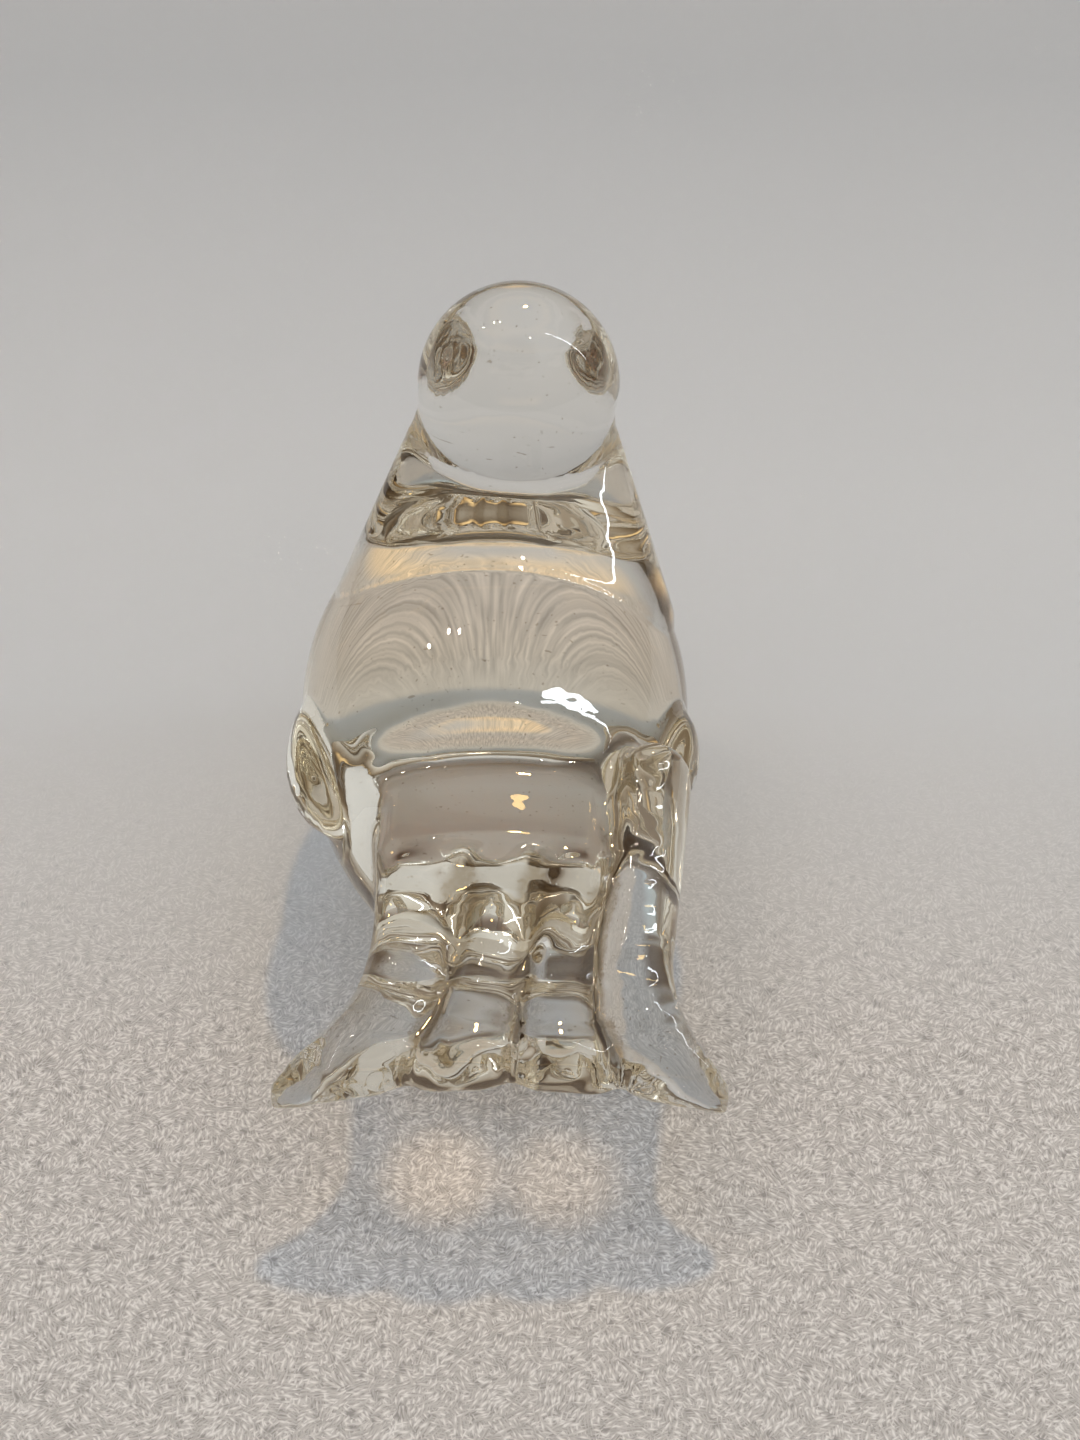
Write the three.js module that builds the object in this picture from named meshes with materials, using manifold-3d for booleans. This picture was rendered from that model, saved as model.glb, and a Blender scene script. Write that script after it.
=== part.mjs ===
// A clear glass bird paperweight, worked hot: a solid body with a neck, head and beak, two wing tips
// pinched out of its sides, and a flat tail root with a fanned tail of four ribs. The bits are sealed to
// each other hot, and here each one is a solid of its own, with a thin seal gap to the bit that carries it.
// Millimetres, +Z up. The bird faces +Y and stands on the flat foot under its body.
import * as THREE from "three";
import { mergeVertices } from "three/addons/utils/BufferGeometryUtils.js";
import Module from "manifold-3d";

// Body: an egg lying along Y, fuller at the breast than at the tail, its back raked forward as it rises,
// its belly tucked back under the breast and flattened to a foot
const bodyWidth = 58.8;
const bodyLength = 86;
const bodyRise = 28;
const bodySide = -0.6;
const bodyCentreHeight = 24;
const footDepth = 6;
const breastFullness = 0.25;
const bodyRake = 0.45;
const bellyTuck = 0.42;
const bodyTopHeight = bodyCentreHeight + bodyRise;

// Head: a ball standing over the breast, a little to one side of the body's middle plane, drawn down to a
// slightly smaller round chin
const headRadius = 15.5;
const headSetBack = 9;
const headRise = 15.6;
const headSide = 3.2;
const chinInset = 0.5;
const chinDrop = 6;
const chinBack = 0.6;
const chinSide = 0.6;
const headForward = bodyLength / 2 - headSetBack;
const headHeight = bodyTopHeight + headRise;

// Neck: a collar that widens from inside the head into the shoulders, flatter front to back
const neckTopWidth = 26;
const neckTopDepth = 6;
const neckBaseWidth = 54;
const neckBaseDepth = 43;
const neckLength = 36;
const neckSetForward = 3;
const neckLeanBack = 26;
const neckLean = Math.atan2(neckLeanBack, headHeight - bodyCentreHeight);
const neckSway = Math.atan2(headSide, headHeight - bodyCentreHeight);

// Beak: a short nib pulled from the front of the head, and two pinch marks pressed in under it
const beakLength = 8;
const beakRadius = 3.2;
const beakTipRadius = 1;
const beakDroop = 4;
const pinchLength = 6.4;
const pinchWidth = 3.8;
const pinchDepth = 0.7;
const pinchDroop = 24;
const pinchSpread = 15;

// Wing tips: leaves that stand out of the sides of the body, the left one larger than the right
const wingLength = { left: 36, right: 29 };
const wingThickness = 13;
const wingReach = 9.5;
const wingStandOut = 1.9;
const wingBack = 5;
const wingLift = 3;
const wingHeight = bodyCentreHeight + wingLift;

// Seat: the back of the body pressed down to a flat, slightly crowned step where the tail sets on
const seatRise = 12.5;
const seatCrown = 2;
const seatHeight = bodyCentreHeight + seatRise;
const seatBack = 0.205 * bodyLength;
const seatLeft = -0.28 * bodyWidth;
const seatRight = 0.255 * bodyWidth;

// Tail root: a slab that carries the flat of the seat back off the body and slopes down to the ribs
const rootReach = 3;
const rootFall = 10;
const rootDepth = 24;
const rootLip = 12;
const rootOverlap = 1;
const rootRounding = 3;
const rootFront = 0.12 * bodyLength;
const rootBack = bodyLength / 2 + rootReach;

// Tail: four ribs side by side that run back from the root, narrow at the waist and fanned at the end
const tailLength = 22;
const tailRise = 3;
const tailReach = bodyLength / 2 + tailLength;
const tailWaistInset = 1;
const tailWaistBack = bodyLength / 2 - tailWaistInset;
const tailTopHeight = bodyCentreHeight + tailRise;
const tailWaistWidth = 0.714 * bodyWidth;
const tailWaistThickness = 15;
const tailTipWidth = 1.122 * bodyWidth;
const tailTipThickness = 9;
const tailRootSide = 0.17 * bodyWidth;
const tailTipSide = 1;
const tailArch = 6.5;
const ribRounding = 3.5;

// Ring of a rib: how deep the grooves beside it lie, and how square its crest and its underside are
const waistRing = { groove: 0.55, crest: 0.9, underside: 0.8 };
const tipRing = { groove: 0.35, crest: 0.9, underside: 0.3 };

// Ribs: three start where the tail root slopes down, and the outer right one lies beside it, higher
const lowStart = { beforeWaist: 7, lift: 0.3, bow: 0 };
const highStart = { beforeWaist: 26, lift: 3.5, bow: 5 };
const ribs = [
  { name: "outer_left", startFrom: -1, from: -1, to: -0.4, ...lowStart },
  { name: "inner_left", startFrom: -0.4, from: -0.4, to: 0.05, ...lowStart },
  { name: "inner_right", startFrom: 0.05, from: 0.05, to: 0.51, ...lowStart },
  { name: "outer_right", startFrom: 0.37, from: 0.51, to: 1, ...highStart },
];

// Gap left between two bits where the real glass is sealed
const sealGap = 0.3;

const wasm = await Module();
wasm.setup();

// A closed geometry as a solid that can be joined and cut
function solidOf(geometry) {
  const bare = geometry.clone();
  bare.deleteAttribute("normal");
  bare.deleteAttribute("uv");
  const merged = mergeVertices(bare, 1e-4);
  return new wasm.Manifold(
    new wasm.Mesh({
      numProp: 3,
      vertProperties: new Float32Array(merged.attributes.position.array),
      triVerts: new Uint32Array(merged.index.array),
    }),
  );
}

function geometryOf(solid) {
  const mesh = solid.getMesh();
  const geometry = new THREE.BufferGeometry();
  geometry.setAttribute("position", new THREE.BufferAttribute(mesh.vertProperties, 3));
  geometry.setIndex(new THREE.BufferAttribute(mesh.triVerts, 1));
  return geometry;
}

// Moves every point of a geometry by a function of its place
function bend(geometry, place) {
  const position = geometry.attributes.position;
  const point = new THREE.Vector3();
  for (let i = 0; i < position.count; i += 1) {
    point.fromBufferAttribute(position, i);
    place(point);
    position.setXYZ(i, point.x, point.y, point.z);
  }
  return geometry;
}

// A closed skin over a row of rings that all have as many points
function loft(rings) {
  const around = rings[0].length;
  const vertices = rings.flat().flatMap((p) => [p.x, p.y, p.z]);
  const faces = [];
  const cap = (ring, turned) => {
    const middle = new THREE.Vector3();
    rings[ring].forEach((p) => middle.addScaledVector(p, 1 / around));
    const centre = vertices.push(middle.x, middle.y, middle.z) / 3 - 1;
    for (let i = 0; i < around; i += 1) {
      const a = ring * around + i;
      const b = ring * around + ((i + 1) % around);
      faces.push(centre, ...(turned ? [b, a] : [a, b]));
    }
  };
  for (let ring = 0; ring + 1 < rings.length; ring += 1) {
    for (let i = 0; i < around; i += 1) {
      const a = ring * around + i;
      const b = ring * around + ((i + 1) % around);
      faces.push(a, b, a + around, b, b + around, a + around);
    }
  }
  cap(0, true);
  cap(rings.length - 1, false);
  const geometry = new THREE.BufferGeometry();
  geometry.setAttribute("position", new THREE.Float32BufferAttribute(vertices, 3));
  geometry.setIndex(faces);
  return geometry;
}

// The egg of the body, grown on every side by a margin
function eggSolid(margin) {
  const egg = new THREE.SphereGeometry(1, 44, 28).rotateX(Math.PI / 2);
  const place = (p) => {
    const fullness = 1 + breastFullness * p.y;
    const upright = p.z > 0 ? bodyRise : bodyCentreHeight + footDepth;
    const height = p.z * (upright * fullness + margin);
    const rake = (bodyRake * Math.max(0, height) * (1 - p.y)) / 2;
    const tuck = (bellyTuck * Math.max(0, -height) * (1 + p.y)) / 2;
    p.x = bodySide + p.x * ((bodyWidth / 2) * fullness + margin);
    p.y = p.y * (bodyLength / 2 + margin) + rake - tuck;
    p.z = bodyCentreHeight + height;
  };
  return solidOf(bend(egg, place));
}

// How far the crowned flat of the seat and the tail root lies below its crest
function crownAt(x) {
  return seatCrown * ((2 * x) / (seatRight - seatLeft)) ** 2;
}

function bodySolid() {
  const floor = new THREE.BoxGeometry(2 * bodyWidth, 2 * bodyLength, bodyTopHeight);
  floor.translate(0, 0, -bodyTopHeight / 2);
  const press = new THREE.BoxGeometry(seatRight - seatLeft, bodyLength, bodyTopHeight, 12, 1, 1);
  press.translate((seatLeft + seatRight) / 2, -seatBack - bodyLength / 2, seatHeight + bodyTopHeight / 2);
  bend(press, (p) => {
    p.z -= crownAt(p.x);
  });
  return eggSolid(0).subtract(solidOf(floor)).subtract(solidOf(press));
}

// The ball of the head with its chin, grown by a margin
function ballSolid(margin) {
  const outline = new THREE.Path();
  outline.absarc(0, -chinDrop, headRadius - chinInset + margin, -Math.PI / 2, 0, false);
  outline.absarc(0, 0, headRadius + margin, 0, Math.PI / 2, false);
  const ball = new THREE.LatheGeometry(outline.getPoints(8), 40).rotateX(Math.PI / 2);
  bend(ball, (p) => {
    const share = THREE.MathUtils.clamp(-p.z / chinDrop, 0, 1);
    p.x += headSide - chinSide * share;
    p.y += headForward - chinBack * share;
    p.z += headHeight;
  });
  return solidOf(ball);
}

// Turns a piece that was made along +Y from the head's centre to its place on the face
function onFace(geometry, droop, turn) {
  geometry.rotateZ(THREE.MathUtils.degToRad(turn));
  geometry.rotateX(THREE.MathUtils.degToRad(-droop));
  return geometry.translate(headSide, headForward, headHeight);
}

function headSolid() {
  let head = ballSolid(0).subtract(eggSolid(sealGap));
  for (const turn of [-pinchSpread, pinchSpread]) {
    const pinch = new THREE.SphereGeometry(1, 20, 14);
    pinch.scale(pinchWidth / 2, pinchDepth, pinchLength / 2);
    pinch.translate(0, headRadius, 0);
    head = head.subtract(solidOf(onFace(pinch, pinchDroop, turn)));
  }
  return head;
}

function beakSolid() {
  const rounding = new THREE.Path();
  rounding.moveTo(0, 0);
  rounding.lineTo(beakRadius, 0);
  rounding.lineTo(beakRadius, headRadius - sealGap);
  rounding.lineTo(beakTipRadius, headRadius + beakLength - beakTipRadius);
  rounding.absarc(0, headRadius + beakLength - beakTipRadius, beakTipRadius, 0, Math.PI / 2, false);
  const beak = new THREE.LatheGeometry(rounding.getPoints(6), 24);
  return solidOf(onFace(beak, beakDroop, 0)).subtract(ballSolid(sealGap));
}

function neckSolid() {
  const neck = new THREE.CylinderGeometry(1, 1, neckLength, 48, 6).rotateX(Math.PI / 2);
  neck.translate(0, 0, -neckLength / 2);
  bend(neck, (p) => {
    const share = -p.z / neckLength;
    p.x *= THREE.MathUtils.lerp(neckTopWidth, neckBaseWidth, share) / 2;
    p.y *= THREE.MathUtils.lerp(neckTopDepth, neckBaseDepth, share) / 2;
  });
  neck.rotateX(-neckLean);
  neck.rotateY(neckSway);
  neck.translate(headSide, headForward + neckSetForward, headHeight);
  return solidOf(neck).subtract(ballSolid(sealGap)).subtract(eggSolid(sealGap));
}

// The whole leaf of a wing tip, grown by a margin; its inner half lies in the body
function leafSolid(side, margin) {
  const outward = side === "left" ? -1 : 1;
  const leaf = new THREE.SphereGeometry(1, 32, 20).rotateX(Math.PI / 2);
  leaf.scale(wingReach + margin, wingLength[side] / 2 + margin, wingThickness / 2 + margin);
  leaf.translate(bodySide + outward * (bodyWidth / 2 + wingStandOut - wingReach), -wingBack, wingHeight);
  return solidOf(leaf);
}

function wingSolid(side) {
  return leafSolid(side, 0).subtract(eggSolid(sealGap));
}

// The slab of the tail root, grown by a margin: its outline from the side, drawn across the seat
function slabSolid(margin) {
  const top = seatHeight - rootRounding;
  const under = seatHeight - rootDepth + rootRounding;
  const back = rootBack - rootRounding;
  const width = seatRight + rootOverlap - seatLeft;
  const outline = new THREE.Shape();
  outline.moveTo(rootFront, under);
  outline.lineTo(back, under);
  outline.lineTo(back, under + rootLip - rootRounding);
  outline.lineTo(back - rootFall, top);
  outline.lineTo(rootFront, top);
  outline.closePath();
  const slab = new THREE.ExtrudeGeometry(outline, {
    depth: width - 2 * rootRounding,
    steps: 10,
    bevelSize: rootRounding + margin,
    bevelThickness: rootRounding + margin,
    bevelSegments: 4,
  });
  bend(slab, (p) => {
    const x = seatRight + rootOverlap - rootRounding - p.z;
    p.set(x, -p.x, p.y - crownAt(x));
  });
  return solidOf(slab);
}

function rootSolid() {
  return slabSolid(0).subtract(eggSolid(sealGap));
}

// How far along the tail a place behind the body lies: 0 up to the waist, 1 at the tip
function alongTail(back) {
  return THREE.MathUtils.clamp((back - tailWaistBack) / (tailReach - tailWaistBack), 0, 1);
}

// How far the tail has fanned out there
function fanAt(back) {
  return alongTail(back) ** 3;
}

// A place across the tail, from -1 at its left edge to 1 at its right edge
function acrossTail(share, back) {
  const halfWidth = THREE.MathUtils.lerp(tailWaistWidth, tailTipWidth, fanAt(back)) / 2;
  return THREE.MathUtils.mapLinear(back, 0, tailReach, tailRootSide, tailTipSide) + share * halfWidth;
}

// One ring of a rib: round over its crest, squarer below, inset where an end is rounded
function ribRing(rib, back, top, bottom, inset) {
  const around = 24;
  const from = THREE.MathUtils.lerp(rib.startFrom, rib.from, Math.min(1, back / tailWaistBack));
  const left = acrossTail(from, back) + sealGap / 2 + inset;
  const right = acrossTail(rib.to, back) - sealGap / 2 - inset;
  const crest = top - inset;
  const under = bottom + inset;
  const between = (name) => THREE.MathUtils.lerp(waistRing[name], tipRing[name], alongTail(back));
  const shoulder = THREE.MathUtils.lerp(crest, under, between("groove"));
  const ring = [];
  for (let i = 0; i < around; i += 1) {
    const angle = (2 * Math.PI * i) / around;
    const squareness = between(angle < Math.PI ? "crest" : "underside");
    const across = Math.sign(Math.cos(angle)) * Math.abs(Math.cos(angle)) ** squareness;
    const rise = Math.abs(Math.sin(angle)) ** squareness;
    const x = (left + right) / 2 + ((right - left) / 2) * across;
    const droop = tailArch * fanAt(back) * ((2 * x) / tailTipWidth) ** 2;
    const z = THREE.MathUtils.lerp(shoulder, angle < Math.PI ? crest : under, rise) - droop;
    ring.push(new THREE.Vector3(x, -back, z));
  }
  return ring;
}

// The rings that round off one end of a rib, from its full size out to its end
function endRings(rib, back, outward, top, bottom) {
  const steps = 5;
  const rings = [];
  for (let step = 1; step <= steps; step += 1) {
    const angle = ((step / steps) * Math.PI) / 2;
    const reach = outward * ribRounding * Math.sin(angle);
    rings.push(ribRing(rib, back + reach, top, bottom, ribRounding * (1 - Math.cos(angle))));
  }
  return rings;
}

// One rib of the tail: its crest leaves the tail root, dips at the waist and runs out to the tip
function ribSolid(rib) {
  const startBack = tailWaistBack - rib.beforeWaist + ribRounding;
  const tipBack = tailReach - ribRounding;
  const line = (root, waist, tip) =>
    new THREE.QuadraticBezierCurve(
      new THREE.Vector2(startBack, root),
      new THREE.Vector2(tailWaistBack, waist),
      new THREE.Vector2(tipBack, tip),
    ).getPoints(12);
  const startHeight = seatHeight + rib.lift;
  const waistHeight = tailTopHeight + rib.bow;
  const crest = line(startHeight, waistHeight, tailTopHeight);
  const under = line(
    startHeight - tailWaistThickness,
    waistHeight - tailWaistThickness,
    tailTopHeight - tailTipThickness,
  );
  const rings = [
    ...endRings(rib, startBack, -1, crest[0].y, under[0].y).reverse(),
    ...crest.map((top, i) => ribRing(rib, top.x, top.y, under[i].y, 0)),
    ...endRings(rib, tipBack, 1, crest.at(-1).y, under.at(-1).y),
  ];
  const wings = leafSolid("left", sealGap).add(leafSolid("right", sealGap));
  const carriers = eggSolid(sealGap).add(slabSolid(sealGap));
  return solidOf(loft(rings)).subtract(carriers).subtract(wings);
}

const clearGlass = new THREE.MeshStandardMaterial({ color: 0xe6e0d4, roughness: 0.03, metalness: 0 });
const bird = new THREE.Group();

function add(name, solid) {
  const mesh = new THREE.Mesh(geometryOf(solid), clearGlass.clone());
  mesh.name = name;
  bird.add(mesh);
}

add("body", bodySolid());
add("neck", neckSolid());
add("head", headSolid());
add("beak", beakSolid());
for (const side of ["left", "right"]) add("wing_" + side, wingSolid(side));
add("tail_root", rootSolid());
for (const rib of ribs) add("tail_rib_" + rib.name, ribSolid(rib));

export default bird;
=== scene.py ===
import math
import bmesh
import bpy
from mathutils import Matrix, Vector


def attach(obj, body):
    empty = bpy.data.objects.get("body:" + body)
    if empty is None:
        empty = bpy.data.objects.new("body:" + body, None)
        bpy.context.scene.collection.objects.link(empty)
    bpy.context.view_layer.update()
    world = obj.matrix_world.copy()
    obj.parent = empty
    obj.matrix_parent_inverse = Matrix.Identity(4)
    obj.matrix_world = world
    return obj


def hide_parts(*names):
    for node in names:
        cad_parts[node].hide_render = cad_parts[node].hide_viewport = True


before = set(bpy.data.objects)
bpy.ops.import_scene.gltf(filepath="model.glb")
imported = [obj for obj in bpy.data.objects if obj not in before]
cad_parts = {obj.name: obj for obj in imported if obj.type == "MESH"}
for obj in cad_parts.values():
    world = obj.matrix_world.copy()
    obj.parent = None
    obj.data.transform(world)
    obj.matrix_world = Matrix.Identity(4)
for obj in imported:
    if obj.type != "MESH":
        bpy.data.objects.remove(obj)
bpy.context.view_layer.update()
scene = bpy.context.scene
scene.view_settings.view_transform = "Standard"
scene.cycles.max_bounces = 32  # light crosses many walls of glass in the tail
scene.cycles.glossy_bounces = 24
scene.cycles.transmission_bounces = 32
mm = 0.001
# the bits of the bird are in millimetres until they are one skin
weld = 0.001
roundSteps = 6  # steps in a quarter turn of a rounded end or edge
farAway = 100.0  # past every point of the bird
print("frame loaded")


# one output socket: sums of wires and numbers add Math nodes
class Wire:
    def __init__(self, socket):
        self.socket = socket
        self.tree = socket.id_data

    def maths(self, operation, first, second):
        return addNode(self.tree, "ShaderNodeMath", {"operation": operation}, {0: first, 1: second})

    def __add__(self, other):
        return self.maths("ADD", self, other)

    def __radd__(self, other):
        return self.maths("ADD", other, self)

    def __sub__(self, other):
        return self.maths("SUBTRACT", self, other)

    def __rsub__(self, other):
        return self.maths("SUBTRACT", other, self)

    def __mul__(self, other):
        return self.maths("MULTIPLY", self, other)

    def __rmul__(self, other):
        return self.maths("MULTIPLY", other, self)

    def most(self, other):
        return self.maths("MAXIMUM", self, other)

    def least(self, other):
        return self.maths("MINIMUM", self, other)


# any node: its settings first, then values or links of its sockets; gives back one output
def addNode(tree, kind, settings=None, inputs=None, output=0):
    node = tree.nodes.new(kind)
    for name, value in (settings or {}).items():
        if name == "stops":
            ramp = node.color_ramp.elements
            while len(ramp) < len(value):
                ramp.new(1.0)
            for element, (place, colour) in zip(ramp, value):
                element.position = place
                element.color = (*colour, 1.0)
        else:
            setattr(node, name, value)
    for name, value in (inputs or {}).items():
        socket = node.inputs[name]
        if isinstance(value, Wire):
            tree.links.new(value.socket, socket)
        else:
            socket.default_value = (*value, 1.0) if socket.type == "RGBA" else value
    return Wire(node.outputs[output]) if node.outputs else None


def partOf(place, axis):
    return addNode(place.tree, "ShaderNodeSeparateXYZ", None, {0: place}, axis)


def stretched(place, scale):
    return addNode(place.tree, "ShaderNodeMapping", None, {"Vector": place, "Scale": scale})


def noise(place, scale, detail, dimensions="3D"):
    return addNode(place.tree, "ShaderNodeTexNoise", {"noise_dimensions": dimensions},
                   {"Vector": place, "Scale": scale, "Detail": detail}, "Fac")


# runs from the first level to the second between two limits of a value
def fade(value, limits, levels=(1.0, 0.0)):
    return addNode(value.tree, "ShaderNodeMapRange", None, {
        "Value": value, "From Min": limits[0], "From Max": limits[1],
        "To Min": levels[0], "To Max": levels[1]})


def rampOf(value, stops):
    return addNode(value.tree, "ShaderNodeValToRGB", {"stops": stops}, {"Fac": value}, "Color")


def mixColours(tree, factor, first, second, blend="MIX"):
    return addNode(tree, "ShaderNodeMix", {"data_type": "RGBA", "blend_type": blend},
                   {"Factor": factor, 6: first, 7: second}, 2)  # sockets 6, 7 and 2 are its colours


def newTree(name):
    material = bpy.data.materials.new(name)
    material.use_nodes = True
    material.node_tree.nodes.clear()
    return material, material.node_tree


def lerp(a, b, share):
    return a + (b - a) * share


def clamp(value):
    return max(0, min(1, value))


def pick(geom, kind):
    return [part for part in geom if isinstance(part, kind)]


def allOf(bm):
    return bm.verts[:] + bm.edges[:] + bm.faces[:]


def meshOf(bm, name):
    mesh = bpy.data.meshes.new(name)
    bmesh.ops.recalc_face_normals(bm, faces=bm.faces)
    bm.to_mesh(mesh)
    bm.free()
    return mesh


# the egg of the body: its back raked forward, its belly tucked back, pressed to a flat seat for the tail
egg = {"width": 58.8, "length": 86.0, "rise": 28.0, "middle": 24.0, "foot": 6.0, "fullness": 0.25,
       "side": -0.6, "rake": 0.45, "tuck": 0.42, "around": 256, "along": 160}
seat = {"height": 37.3, "back": 17.6, "left": -16.5, "right": 15.0, "crown": 2.0, "steep": 6.0,
        "plainLeft": -14.5, "plainRight": 14.0, "plainFront": -23.6, "plainBack": -34.0}


def crownAt(x):
    return seat["crown"] * (2 * x / (seat["right"] - seat["left"])) ** 2


def eggReach(height):
    return egg["rise"] if height > 0 else egg["middle"] + egg["foot"]


def eggInto(bm):
    turn = Matrix.Rotation(math.radians(90), 4, "X")
    verts = bmesh.ops.create_uvsphere(bm, u_segments=egg["around"], v_segments=egg["along"], radius=1.0,
                                      matrix=turn)["verts"]
    for v in verts:
        x, y, z = v.co
        full = 1 + egg["fullness"] * y
        height = z * full * eggReach(z)
        v.co.x = egg["side"] + x * full * egg["width"] / 2
        v.co.y = y * egg["length"] / 2 + egg["rake"] * max(0, height) * (1 - y) / 2
        v.co.y -= egg["tuck"] * max(0, -height) * (1 + y) / 2
        beside = max(0, v.co.y + seat["back"], seat["left"] - v.co.x, v.co.x - seat["right"])
        pressed = seat["height"] - crownAt(v.co.x) + seat["steep"] * beside
        v.co.z = min(egg["middle"] + height, pressed)


# how far outside the egg a point lies, as a share of its radius there
def eggField(co):
    height = co.z - egg["middle"]
    lead = egg["rake"] * max(0, height) / 2
    lag = egg["tuck"] * max(0, -height) / 2
    y = (co.y - lead + lag) / (egg["length"] / 2 - lead - lag)
    full = 1 + egg["fullness"] * y
    x = (co.x - egg["side"]) / (full * egg["width"] / 2)
    z = height / full / eggReach(height)
    return math.sqrt(x * x + y * y + z * z) - 1


# how far above the seat a point lies, on the part of it that stays plain
def seatField(co):
    acrossIt = seat["plainLeft"] < co.x < seat["plainRight"]
    alongIt = seat["plainBack"] < co.y < seat["plainFront"]
    return co.z - seat["height"] + crownAt(co.x) if acrossIt and alongIt else farAway


# a ball that is drawn down a little to the chin
head = {"place": Vector((3.2, 34.0, 67.6)), "radius": 15.5, "chin": Vector((2.6, 33.4, 61.6)),
        "chinRadius": 15.0, "around": 96, "along": 48}


def headInto(bm):
    balls = bmesh.new()
    for place, radius in ((head["place"], head["radius"]), (head["chin"], head["chinRadius"])):
        bmesh.ops.create_uvsphere(balls, u_segments=head["around"], v_segments=head["along"], radius=radius,
                                  matrix=Matrix.Translation(place))
    inside = bmesh.ops.convex_hull(balls, input=balls.verts)["geom_interior"]
    bmesh.ops.delete(balls, geom=pick(inside, bmesh.types.BMVert), context="VERTS")
    bm.from_mesh(meshOf(balls, "balls"))


# how far outside the head a point lies
def headField(co):
    share = clamp((head["place"].z - co.z) / (head["place"].z - head["chin"].z))
    middle = head["place"].lerp(head["chin"], share)
    return (co - middle).length - lerp(head["radius"], head["chinRadius"], share)


# the collar from the head to the shoulders, flatter front to back
neck = {"topWidth": 26.0, "topDepth": 6.0, "baseWidth": 54.0, "baseDepth": 43.0, "length": 36.0,
        "forward": 3.0, "leanBack": 26.0, "around": 96}


def neckInto(bm):
    rise = head["place"].z - egg["middle"]
    lean = Matrix.Rotation(-math.atan2(neck["leanBack"], rise), 4, "X")
    sway = Matrix.Rotation(math.atan2(head["place"].x, rise), 4, "Y")
    verts = bmesh.ops.create_cone(bm, cap_ends=True, segments=neck["around"], radius1=1, radius2=1,
                                  depth=neck["length"])["verts"]
    for v in verts:
        share = 0.5 - v.co.z / neck["length"]
        v.co.x *= lerp(neck["topWidth"], neck["baseWidth"], share) / 2
        v.co.y *= lerp(neck["topDepth"], neck["baseDepth"], share) / 2
        v.co.z -= neck["length"] / 2
    place = Matrix.Translation(head["place"] + Vector((0, neck["forward"], 0))) @ sway @ lean
    bmesh.ops.transform(bm, matrix=place, verts=verts)


# a short nib: a profile from inside the head to the rounded tip, spun about the beak's own line
beak = {"length": 8.0, "radius": 3.2, "tipRadius": 1.0, "droop": 4.0, "sunk": 5.0, "tang": 1.0,
        "shoulder": 0.3, "around": 48}


# the way out of the middle of the head, drooped and turned by degrees
def onHead(droop, turn=0.0):
    place = Matrix.Translation(head["place"]) @ Matrix.Rotation(math.radians(-droop), 4, "X")
    return place @ Matrix.Rotation(math.radians(turn), 4, "Z")


def beakInto(bm):
    nib = bmesh.new()
    tip = head["radius"] + beak["length"] - beak["tipRadius"]
    inside = head["radius"] - beak["sunk"]
    profile = [(0, inside - beak["tang"]), (beak["radius"], inside),
               (beak["radius"], head["radius"] - beak["shoulder"])]
    for step in range(roundSteps + 1):
        angle = math.radians(90 * step / roundSteps)
        profile.append((beak["tipRadius"] * math.cos(angle), tip + beak["tipRadius"] * math.sin(angle)))
    verts = [nib.verts.new((x, y, 0)) for x, y in profile]
    edges = [nib.edges.new(pair) for pair in zip(verts, verts[1:])]
    bmesh.ops.spin(nib, geom=verts + edges, cent=(0, 0, 0), axis=(0, 1, 0), angle=math.tau,
                   steps=beak["around"], use_merge=True)
    bmesh.ops.remove_doubles(nib, verts=nib.verts, dist=weld)
    bmesh.ops.transform(nib, matrix=onHead(beak["droop"]), verts=nib.verts)
    bm.from_mesh(meshOf(nib, "nib"))


# leaves that stand out of the sides of the body
wings = {"left": 36.0, "right": 29.0, "thickness": 13.0, "reach": 9.5, "standOut": 1.9, "back": 5.0,
         "height": 27.0, "around": 64, "along": 48}


def wingsInto(bm):
    for side, outward in (("left", -1), ("right", 1)):
        middle = egg["side"] + outward * (egg["width"] / 2 + wings["standOut"] - wings["reach"])
        place = Matrix.Translation((middle, -wings["back"], wings["height"]))
        place = place @ Matrix.Diagonal((wings["reach"], wings[side] / 2, wings["thickness"] / 2, 1))
        place = place @ Matrix.Rotation(math.radians(90), 4, "X")
        bmesh.ops.create_uvsphere(bm, u_segments=wings["around"], v_segments=wings["along"], radius=1.0,
                                  matrix=place)


# the slab behind the seat: its outline from the side, drawn across, rounded and crowned
root = {"front": 10.3, "back": 46.0, "fall": 10.0, "depth": 24.0, "lip": 12.0, "overlap": 1.0,
        "rounding": 3.0, "slices": 12}


def rootInto(bm):
    slab = bmesh.new()
    top, base = seat["height"], seat["height"] - root["depth"]
    outline = [(root["front"], base), (root["back"], base), (root["back"], base + root["lip"]),
               (root["back"] - root["fall"], top), (root["front"], top)]
    face = slab.faces.new([slab.verts.new((seat["left"], -back, z)) for back, z in outline])
    grown = bmesh.ops.extrude_face_region(slab, geom=[face])["geom"]
    width = seat["right"] + root["overlap"] - seat["left"]
    bmesh.ops.translate(slab, vec=(width, 0, 0), verts=pick(grown, bmesh.types.BMVert))
    bmesh.ops.recalc_face_normals(slab, faces=slab.faces)
    bmesh.ops.bevel(slab, geom=slab.edges[:], offset=root["rounding"], offset_type="OFFSET",
                    segments=roundSteps, profile=0.5, affect="EDGES", material=-1)
    for step in range(1, root["slices"]):
        cutAt = seat["left"] + width * step / root["slices"]
        bmesh.ops.bisect_plane(slab, geom=allOf(slab), plane_co=(cutAt, 0, 0), plane_no=(1, 0, 0))
    for v in slab.verts:
        v.co.z -= crownAt(v.co.x)
    bm.from_mesh(meshOf(slab, "slab"))


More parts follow.
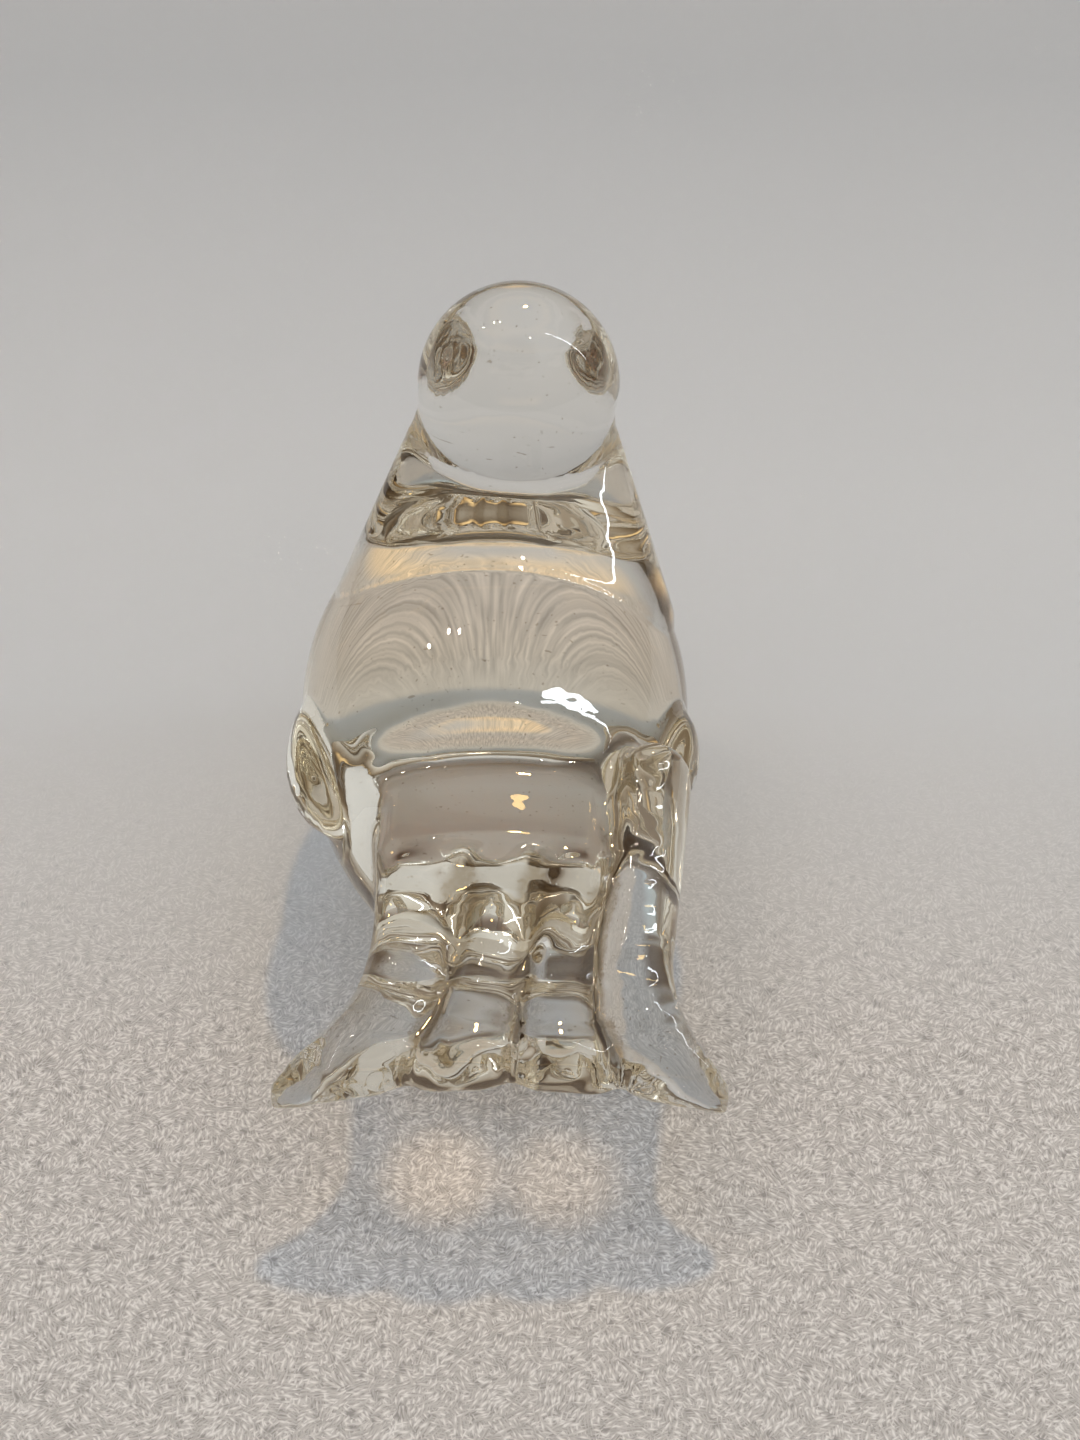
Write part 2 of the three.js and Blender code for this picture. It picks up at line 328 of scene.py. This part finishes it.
# four ribs side by side, narrow at the waist and fanned at the end
tail = {"reach": 65.0, "waistBack": 42.0, "top": 27.0, "waistWidth": 42.0, "waistThickness": 15.0,
        "tipWidth": 66.0, "tipThickness": 9.0, "rootSide": 10.0, "tipSide": 1.0, "arch": 6.5,
        "rounding": 3.5, "rings": 24, "around": 40}
waistRing = {"groove": 0.55, "crest": 0.9, "underside": 0.8}
tipRing = {"groove": 0.35, "crest": 0.9, "underside": 0.3}
ribs = [
    {"startFrom": -1.0, "from": -1.0, "to": -0.4, "start": 35.0, "rise": 36.8, "bow": 0.0},
    {"startFrom": -0.4, "from": -0.4, "to": 0.05, "start": 35.0, "rise": 36.8, "bow": 0.0},
    {"startFrom": 0.05, "from": 0.05, "to": 0.51, "start": 35.0, "rise": 36.8, "bow": 0.0},
    {"startFrom": 0.37, "from": 0.51, "to": 1.0, "start": 16.0, "rise": 40.0, "bow": 5.0},
]


def alongTail(back):
    return clamp((back - tail["waistBack"]) / (tail["reach"] - tail["waistBack"]))


def fanAt(back):
    return alongTail(back) ** 3


def acrossTail(share, back):
    half = lerp(tail["waistWidth"], tail["tipWidth"], fanAt(back)) / 2
    return lerp(tail["rootSide"], tail["tipSide"], back / tail["reach"]) + share * half


def bow(a, b, c, t):
    return a * (1 - t) ** 2 + 2 * b * t * (1 - t) + c * t * t


# how far back, crest, underside and inset of each ring of a rib, from its root to its tip
def ribStations(rib):
    rounding = tail["rounding"]
    first, last = rib["start"] + rounding, tail["reach"] - rounding
    waist = tail["top"] + rib["bow"]
    stations = []
    for step in range(tail["rings"] + 1):
        t = step / tail["rings"]
        base = bow(rib["rise"] - tail["waistThickness"], waist - tail["waistThickness"],
                   tail["top"] - tail["tipThickness"], t)
        top = bow(rib["rise"], waist, tail["top"], t)
        stations.append((bow(first, tail["waistBack"], last, t), top, base, 0.0))
    for end, outward in ((0, -1), (-1, 1)):
        back, top, base, inset = stations[end]
        for step in range(1, roundSteps + 1):
            angle = math.radians(90 * step / roundSteps)
            reach = outward * rounding * math.sin(angle)
            ring = (back + reach, top, base, rounding * (1 - math.cos(angle)))
            stations.insert(0 if outward < 0 else len(stations), ring)
    return stations


# a grid bent into a closed rib: round over the crest, squarer below
def ribInto(bm, rib):
    stations = ribStations(rib)
    rows = len(stations) + 1
    verts = bmesh.ops.create_grid(bm, x_segments=tail["around"], y_segments=rows, size=0.5)["verts"]
    for v in verts:
        row = round((v.co.y + 0.5) * rows) - 1
        angle = math.tau * (v.co.x + 0.5)
        back, top, base, inset = stations[max(0, min(len(stations) - 1, row))]
        start = lerp(rib["startFrom"], rib["from"], min(1, back / tail["waistBack"]))
        left = acrossTail(start, back) + inset
        right = acrossTail(rib["to"], back) - inset
        crest, foot = top - inset, base + inset
        ring = {name: lerp(waistRing[name], tipRing[name], alongTail(back)) for name in waistRing}
        shoulder = lerp(crest, foot, ring["groove"])
        upper = angle < math.pi
        square = ring["crest"] if upper else ring["underside"]
        across = math.copysign(abs(math.cos(angle)) ** square, math.cos(angle))
        rise = abs(math.sin(angle)) ** square
        if row < 0 or row >= len(stations):
            across, rise = 0, 0  # the two outer rows close the ends
        x = (left + right) / 2 + (right - left) / 2 * across
        droop = tail["arch"] * fanAt(back) * (2 * x / tail["tipWidth"]) ** 2
        v.co = (x, -back, lerp(shoulder, crest if upper else foot, rise) - droop)
    bmesh.ops.remove_doubles(bm, verts=verts, dist=weld)


def tailInto(bm):
    for rib in ribs:
        ribInto(bm, rib)


# hot glass runs together: one skin over all the bits, its creases melted to fillets
melt = {"voxel": 1.15, "soften": 0.5, "restore": -0.52, "evenFirst": 16, "evenLast": 5,
        "hollow": 0.006, "rounds": 25, "tailRounds": 2, "tailStart": 30.0, "neckRounds": 9, "neckStart": 46.0,
        "groove": 40.0, "settle": 0.3, "probe": 0.05, "flattest": 0.001, "dome": -8.0, "footWeld": 0.0001}


def withModifier(mesh, kind, settings):
    obj = bpy.data.objects.new("work", mesh)
    scene.collection.objects.link(obj)
    modifier = obj.modifiers.new("work", kind)
    for name, value in settings.items():
        setattr(modifier, name, value)
    bpy.context.view_layer.update()
    graph = bpy.context.evaluated_depsgraph_get()
    done = bpy.data.meshes.new_from_object(obj.evaluated_get(graph))
    bpy.data.objects.remove(obj)
    return done


def hollowness(v):
    around = [edge.other_vert(v).co for edge in v.link_edges]
    return (sum(around, Vector()) / len(around) - v.co).dot(v.normal)


def soften(bm, verts, factor):
    bmesh.ops.smooth_vert(bm, verts=verts, factor=factor, use_axis_x=True, use_axis_y=True, use_axis_z=True)


# smooths the skin and swells it back, so that it doesn't shrink
def evenOut(bm, turns):
    for turn in range(turns):
        soften(bm, bm.verts, melt["soften"])
        soften(bm, bm.verts, melt["restore"])


# takes the last unevenness out of the skin where it lies on one of the plain forms
def settle(bm, field, verts):
    bm.normal_update()
    for v in verts:
        value = field(v.co)
        slope = (field(v.co + v.normal * melt["probe"]) - value) / melt["probe"]
        gap = value / slope if abs(slope) > melt["flattest"] else 1.0
        if abs(gap) < melt["settle"]:
            v.co -= v.normal * gap * (1 - (gap / melt["settle"]) ** 2)


# the tail and then the neck drop out of the softening, so that their creases stay tighter
def meltBits(bits):
    skin = withModifier(meshOf(bits, "bits"), "REMESH", {"mode": "VOXEL", "voxel_size": melt["voxel"]})
    bm = bmesh.new()
    bm.from_mesh(skin)
    evenOut(bm, melt["evenFirst"])
    for turn in range(melt["rounds"]):
        bm.normal_update()
        behind = -melt["tailStart"] if turn >= melt["tailRounds"] else -farAway
        below = melt["neckStart"] if turn >= melt["neckRounds"] else farAway
        melting = [v for v in bm.verts if v.co.y > behind and v.co.z < below]
        soften(bm, [v for v in melting if hollowness(v) > melt["hollow"]], melt["soften"])
    evenOut(bm, melt["evenLast"])
    bm.normal_update()
    groove = bm.verts.layers.float.new("groove")
    for v in bm.verts:
        v[groove] = clamp(hollowness(v) * melt["groove"])
    return withModifier(meshOf(bm, "melted"), "SUBSURF", {"levels": 1, "render_levels": 1})


# a soft dent pressed into the head on each side under the beak
pinch = {"droop": 24.0, "spread": 15.0, "width": 3.8, "length": 6.4, "depth": 0.7, "cuts": 2,
         "cutWithin": 1.5, "settleWithin": 2.0}


# squared distance from the middle of a dent, 1 at its rim
def fromPinch(into, co):
    place = into @ co
    if place.y <= 0:
        return farAway
    return (2 * place.x / pinch["width"]) ** 2 + (2 * place.z / pinch["length"]) ** 2


def pressPinches(bm):
    for turn in (-pinch["spread"], pinch["spread"]):
        outOf = onHead(pinch["droop"], turn)
        into = outOf.inverted()
        inward = outOf.to_3x3() @ Vector((0, -1, 0))
        for cut in range(pinch["cuts"]):
            edges = [edge for edge in bm.edges
                     if min(fromPinch(into, v.co) for v in edge.verts) < pinch["cutWithin"]]
            bmesh.ops.subdivide_edges(bm, edges=edges, cuts=1, use_grid_fill=True)
        near = [v for v in bm.verts if fromPinch(into, v.co) < pinch["settleWithin"]]
        settle(bm, headField, near)
        for v in near:
            v.co += inward * pinch["depth"] * max(0, 1 - fromPinch(into, v.co)) ** 2


def buildBird():
    bits = bmesh.new()
    for bitInto in (eggInto, headInto, neckInto, wingsInto, rootInto, tailInto, beakInto):
        bitInto(bits)
    print("bits shaped", len(bits.faces))
    bm = bmesh.new()
    bm.from_mesh(meltBits(bits))
    settle(bm, eggField, [v for v in bm.verts if v.co.y > melt["dome"]])
    settle(bm, seatField, bm.verts)
    settle(bm, headField, bm.verts)
    pressPinches(bm)
    ground = bmesh.ops.bisect_plane(bm, geom=allOf(bm), dist=melt["footWeld"], plane_co=(0, 0, 0),
                                    plane_no=(0, 0, 1), clear_inner=True)
    for face in bm.faces:
        face.smooth = True
    bmesh.ops.edgeloop_fill(bm, edges=pick(ground["geom_cut"], bmesh.types.BMEdge))
    bmesh.ops.scale(bm, vec=(mm, mm, mm), verts=bm.verts)
    bird = bpy.data.objects.new("glass_bird", meshOf(bm, "bird"))
    scene.collection.objects.link(bird)
    print("bird melted", len(bird.data.polygons))
    return bird


bird = buildBird()

# clear soda glass, warm tint in its depth, fine folds across the tail, grit and painted shade in its grooves
glass = {"colour": (0.985, 0.985, 0.975), "ior": 1.51, "tint": (0.95, 0.86, 0.62), "density": 4.0,
         "tail": (-0.034, -0.026), "wave": 55.0, "folds": (70.0, 190.0, 110.0), "foldHeight": 9.0,
         "bump": 0.06, "bumpDepth": 0.001, "gritAndShade": (0.42, 0.34, 0.24), "grooveGritAndShade": 0.9, "specks": 1500.0,
         "speckGroove": 0.26, "speckLimits": (0.72, 0.77), "speckLevels": (0.0, 0.8)}


def glassMaterial():
    material, tree = newTree("clear_glass")
    place = addNode(tree, "ShaderNodeTexCoord", None, None, "Object")
    groove = addNode(tree, "ShaderNodeAttribute", {"attribute_name": "groove"}, None, "Fac")
    onTail = fade(partOf(place, "Y"), glass["tail"])
    wave = noise(place, glass["wave"], 0.0)
    fold = noise(stretched(place, glass["folds"]), 1.0, 1.0)
    bump = addNode(tree, "ShaderNodeBump", None, {
        "Height": wave + fold * onTail * glass["foldHeight"], "Strength": glass["bump"],
        "Distance": glass["bumpDepth"]})
    specks = noise(place, glass["specks"], 1.0) + groove * onTail * glass["speckGroove"]
    dirty = fade(specks, glass["speckLimits"], glass["speckLevels"])
    # the tail's grooves are darkened towards the grit colour: partly grit, partly painted shade
    grittedAndShaded = mixColours(tree, groove * onTail * glass["grooveGritAndShade"], glass["colour"], glass["gritAndShade"])
    colour = mixColours(tree, dirty, grittedAndShaded, glass["gritAndShade"])
    surface = addNode(tree, "ShaderNodeBsdfPrincipled", None, {
        "Base Color": colour, "Roughness": 0.0, "IOR": glass["ior"], "Transmission Weight": 1.0,
        "Normal": bump})
    depth = addNode(tree, "ShaderNodeVolumeAbsorption", None, {
        "Color": glass["tint"], "Density": glass["density"]})
    addNode(tree, "ShaderNodeOutputMaterial", None, {"Surface": surface, "Volume": depth})
    return material


bird.data.materials.append(glassMaterial())
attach(bird, "root")
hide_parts("body", "neck", "head", "beak", "wing_left", "wing_right", "tail_root", "tail_rib_outer_left",
            "tail_rib_inner_left", "tail_rib_inner_right", "tail_rib_outer_right")
print("glass done")

# pale pressed-fibre cloth under the bird, its fibres lying in turned tufts, smoother farther back
cloth = {"size": 3.0, "drop": 0.0004, "roughness": 0.95, "shade": (0.30, 0.275, 0.25),
         "colour": (0.49, 0.45, 0.41), "light": (0.72, 0.68, 0.63), "tufts": (330.0, 410.0, 500.0),
         "fibre": (1.3, 6.0, 1), "fibreMiddle": 0.58, "contrast": 2.8, "fadeLimits": (-0.045, 0.04),
         "fadeLevels": (1.0, 0.12), "smoothLimits": (-0.04, 0.04),
         # the smooth far colours grow darker and cooler farther back: painted shade
         "smooth": [(0.1, (0.515, 0.51, 0.50)), (0.32, (0.40, 0.403, 0.405))]}
# painted shadow and painted light on the cloth under the bird, from behind the foot to under the breast
paintedLightAndShade = {"middle": (3.0, 9.0), "reach": (21.0, 53.0), "edge": (0.75, 1.0), "streak": (6000.0, 170.0, 1.0),
         "wispLimits": (0.026, 0.034), "wispLevels": (0.0, 0.9), "from": -45.0, "to": 62.0,
         # the dark bands are painted shadow, the gold bands ahead of the breast painted caustic light
         "shadowAndCausticTones": [
             (-40.0, (0.42, 0.38, 0.33)), (-33.0, (0.55, 0.55, 0.55)), (-28.0, (0.26, 0.215, 0.17)),
             (-23.0, (0.15, 0.11, 0.08)), (-18.0, (0.22, 0.17, 0.125)), (-14.0, (0.60, 0.62, 0.60)),
             (-10.0, (0.66, 0.70, 0.68)), (-3.0, (0.69, 0.76, 0.77)), (4.0, (0.60, 0.62, 0.60)),
             (9.0, (0.36, 0.32, 0.26)), (14.0, (0.20, 0.16, 0.115)), (21.0, (0.50, 0.46, 0.39)),
             (28.0, (0.66, 0.64, 0.60)), (34.0, (0.57, 0.525, 0.47)), (40.0, (0.52, 0.47, 0.42)),
             (46.0, (0.51, 0.46, 0.41)), (50.0, (0.54, 0.49, 0.43)), (53.0, (0.80, 0.63, 0.42)),
             (57.0, (0.85, 0.66, 0.42)), (61.0, (0.60, 0.52, 0.44))]}


# strands drawn along one way in each tuft, the brightest of three sizes of tuft on top
def fibresOf(place):
    tree = place.tree
    fibres = 0.0
    for scale in cloth["tufts"]:
        flat, tuft = {"voronoi_dimensions": "2D"}, {"Vector": place, "Scale": scale}
        middle = addNode(tree, "ShaderNodeTexVoronoi", flat, tuft, "Position")
        chance = addNode(tree, "ShaderNodeTexVoronoi", flat, tuft, "Color")
        turn = addNode(tree, "ShaderNodeSeparateColor", None, {0: chance}) * math.tau
        inside = addNode(tree, "ShaderNodeVectorMath", {"operation": "SUBTRACT"}, {0: place, 1: middle})
        turned = addNode(tree, "ShaderNodeVectorRotate", {"rotation_type": "Z_AXIS"},
                         {"Vector": inside, "Angle": turn})
        fibres = noise(stretched(turned, cloth["fibre"]), scale, 1.0, "2D").most(fibres)
    return fibres


def openCloth(place, y):
    near = fade(y, cloth["fadeLimits"], cloth["fadeLevels"])
    contrast = (fibresOf(place) - cloth["fibreMiddle"]) * near * cloth["contrast"]
    worn = rampOf(0.5 + contrast, [(0.0, cloth["shade"]), (0.5, cloth["colour"]), (1.0, cloth["light"])])
    # farther back the cloth turns smooth and is painted darker and cooler as painted shade
    distance = fade(y, cloth["smoothLimits"], (0.0, 1.0))
    return mixColours(place.tree, distance, worn, rampOf(y, cloth["smooth"]))


# painted shadow and light along the bird, drawn out to wisps under the breast; gives back its oval and colour
def paintLightAndShadeUnder(place, x, y):
    across = (x * (1 / mm) - paintedLightAndShade["middle"][0]) * (1 / paintedLightAndShade["reach"][0])
    along = (y * (1 / mm) - paintedLightAndShade["middle"][1]) * (1 / paintedLightAndShade["reach"][1])
    paintedOval = fade(across * across + along * along, paintedLightAndShade["edge"])
    span = paintedLightAndShade["to"] - paintedLightAndShade["from"]
    stops = [((at - paintedLightAndShade["from"]) / span, tone) for at, tone in paintedLightAndShade["shadowAndCausticTones"]]
    shadowAndCausticTones = rampOf((y * (1 / mm) - paintedLightAndShade["from"]) * (1 / span), stops)
    wisp = noise(stretched(place, paintedLightAndShade["streak"]), 1.0, 1.0, "2D")
    wisps = 1.0 + (wisp - 0.5) * fade(y, paintedLightAndShade["wispLimits"], paintedLightAndShade["wispLevels"])
    return paintedOval, mixColours(place.tree, 1.0, shadowAndCausticTones, wisps, "MULTIPLY")


def layCloth():
    bm = bmesh.new()
    bmesh.ops.create_grid(bm, x_segments=1, y_segments=1, size=cloth["size"])
    bmesh.ops.translate(bm, vec=(0, 0, -cloth["drop"]), verts=bm.verts)
    floor = bpy.data.objects.new("floor", meshOf(bm, "floor"))
    scene.collection.objects.link(floor)
    material, tree = newTree("cloth")
    place = addNode(tree, "ShaderNodeTexCoord", None, None, "Object")
    x, y = partOf(place, "X"), partOf(place, "Y")
    # inside the oval the cloth carries the painted shadow and light instead of its open weave
    paintedOval, shadowAndCausticTones = paintLightAndShadeUnder(place, x, y)
    colour = mixColours(tree, paintedOval, openCloth(place, y), shadowAndCausticTones)
    surface = addNode(tree, "ShaderNodeBsdfPrincipled", None, {
        "Base Color": colour, "Roughness": cloth["roughness"]})
    addNode(tree, "ShaderNodeOutputMaterial", None, {"Surface": surface})
    floor.data.materials.append(material)
    print("cloth laid")
    return floor


floor = layCloth()

# a tall window on the right, a warm light far ahead and small bulbs above
bulb = (1.0, 0.85, 0.68)
lamps = {
    "window": {"place": (0.66, 0.12, 0.64), "size": (0.014, 0.75), "energy": 0.8, "colour": (0.86, 0.93, 1.0)},
    "warm": {"place": (0.27, 1.77, 2.5), "size": (0.17, 0.17), "energy": 24.0, "colour": (1.0, 0.66, 0.24)},
    "lampLeft": {"place": (-0.62, 0.32, 1.05), "size": (0.03, 0.03), "energy": 0.3, "colour": bulb},
    "lampMiddle": {"place": (-0.42, 0.34, 1.1), "size": (0.03, 0.03), "energy": 0.3, "colour": bulb},
    "lampRight": {"place": (-0.32, 0.32, 1.12), "size": (0.03, 0.03), "energy": 0.3, "colour": bulb},
    "lampAbove": {"place": (0.23, -0.11, 1.17), "size": (0.04, 0.04), "energy": 0.5, "colour": bulb},
}
lampAim = Vector((0, 0, 0.03))


def hangLamps():
    for name, lamp in lamps.items():
        data = bpy.data.lights.new(name, "AREA")
        data.energy = lamp["energy"]
        data.color = lamp["colour"]
        data.shape = "ELLIPSE" if name != "window" else "RECTANGLE"
        data.size, data.size_y = lamp["size"]
        obj = bpy.data.objects.new(name, data)
        obj.location = lamp["place"]
        obj.rotation_euler = (lampAim - Vector(lamp["place"])).to_track_quat("-Z", "Y").to_euler()
        scene.collection.objects.link(obj)
    print("lamps hung", len(lamps))


hangLamps()

# the light that the tail gathers on the cloth inside its own shadow
glow = {"radius": 12.0, "level": 0.075, "colour": (0.95, 0.97, 1.0)}
ember = (1.0, 0.72, 0.42)
gathered = {
    "glowLeft": {"place": (-8.0, -58.0), **glow},
    "glowMiddle": {"place": (3.0, -60.0), **glow},
    "glowRight": {"place": (14.0, -58.0), **glow},
    "sparkLeft": {"place": (-7.3, -63.0), "radius": 2.2, "level": 0.36, "colour": ember},
    "sparkRight": {"place": (9.2, -63.5), "radius": 2.6, "level": 0.26, "colour": ember},
}
gatherHeight = 1.2


# spots from straight above that light the cloth alone
def gatherLight():
    clothOnly = bpy.data.collections.new("cloth_only")
    clothOnly.objects.link(floor)
    for name, spot in gathered.items():
        data = bpy.data.lights.new(name, "SPOT")
        data.energy = spot["level"] * 4 * math.pi ** 2 * gatherHeight ** 2
        data.color = spot["colour"]
        data.spot_size = 2 * math.atan(spot["radius"] * mm / gatherHeight)
        data.spot_blend = 1.0
        data.shadow_soft_size = 0.0
        obj = bpy.data.objects.new(name, data)
        obj.location = (spot["place"][0] * mm, spot["place"][1] * mm, gatherHeight)
        obj.light_linking.receiver_collection = clothOnly
        obj.light_linking.blocker_collection = clothOnly
        scene.collection.objects.link(obj)
    print("light gathered", len(gathered))


gatherLight()

# the room as the glass shows it, from the horizon up, and the plain light that it gives
room = {
    "wall": [(0.0, (0.08, 0.055, 0.035)), (0.15, (0.15, 0.105, 0.07)), (0.3, (0.31, 0.25, 0.19)),
             (0.45, (0.49, 0.445, 0.385)), (0.65, (0.63, 0.61, 0.57)), (0.85, (0.74, 0.745, 0.74)),
             (1.0, (0.80, 0.815, 0.825))],
    "back": [(0.0, (0.08, 0.055, 0.035)), (0.25, (0.17, 0.125, 0.08)), (0.42, (0.34, 0.285, 0.225)),
             (0.6, (0.55, 0.52, 0.47)), (0.85, (0.74, 0.745, 0.74))],
    "backLimits": (-0.7, -0.3),
    "gold": [(0.08, (0, 0, 0)), (0.15, (1.0, 0.72, 0.36)), (0.21, (1.0, 0.72, 0.36)), (0.3, (0, 0, 0))],
    "goldLimits": (0.09, 0.24),
    "side": [(0.15, (0.24, 0.19, 0.14)), (0.27, (0.33, 0.265, 0.21)), (0.41, (0.74, 0.72, 0.69)),
             (0.55, (0.80, 0.80, 0.80)), (0.7, (1, 1, 1))],
    "dark": [(0.885, (1, 1, 1)), (0.955, (0.16, 0.12, 0.08))], "darkWay": Vector((-0.05, -0.5, 0.86)),
    "light": (0.64, 0.715, 0.815)}


def rayIs(tree, name):
    return addNode(tree, "ShaderNodeLightPath", None, None, name)


def paintRoom():
    world = bpy.data.worlds.new("room")
    scene.world = world
    world.use_nodes = True
    tree = world.node_tree
    tree.nodes.clear()
    way = addNode(tree, "ShaderNodeTexCoord", None, None, "Generated")
    right, ahead, height = partOf(way, "X"), partOf(way, "Y"), partOf(way, "Z")
    toDark = addNode(tree, "ShaderNodeVectorMath", {"operation": "DOT_PRODUCT"},
                     {0: way, 1: room["darkWay"].normalized()}, "Value")
    behind = fade(ahead, room["backLimits"])
    wall = mixColours(tree, behind, rampOf(height, room["wall"]), rampOf(height, room["back"]))
    golden = behind * fade(right * right, room["goldLimits"])
    wall = mixColours(tree, golden, wall, rampOf(height, room["gold"]), "ADD")
    for layer in (rampOf(right * 0.5 + 0.5, room["side"]), rampOf(toDark, room["dark"])):
        wall = mixColours(tree, 1.0, wall, layer, "MULTIPLY")
    seen = rayIs(tree, "Is Glossy Ray") + rayIs(tree, "Is Transmission Ray")
    shown = seen.least(1.0) * (1.0 - rayIs(tree, "Diffuse Depth").least(1.0))
    colour = mixColours(tree, shown, room["light"], wall)
    shine = addNode(tree, "ShaderNodeBackground", None, {"Color": colour, "Strength": 1.0})
    addNode(tree, "ShaderNodeOutputWorld", None, {"Surface": shine})
    print("room painted")


paintRoom()

# the photo's view; focus and width are in pixels of its frame
camera = {"place": (6.45, -233.885, 225.134), "down": 40.0, "focus": 2000.0, "width": 1080, "sensor": 36.0,
          "nearest": 0.01}


def setCamera():
    data = bpy.data.cameras.new("camera")
    data.sensor_fit = "HORIZONTAL"
    data.sensor_width = camera["sensor"]
    data.lens = camera["sensor"] * camera["focus"] / camera["width"]
    data.clip_start = camera["nearest"]
    obj = bpy.data.objects.new("camera", data)
    obj.location = Vector(camera["place"]) * mm
    obj.rotation_euler = (math.radians(90 - camera["down"]), 0, 0)
    scene.collection.objects.link(obj)
    scene.camera = obj
    print("camera set")


setCamera()
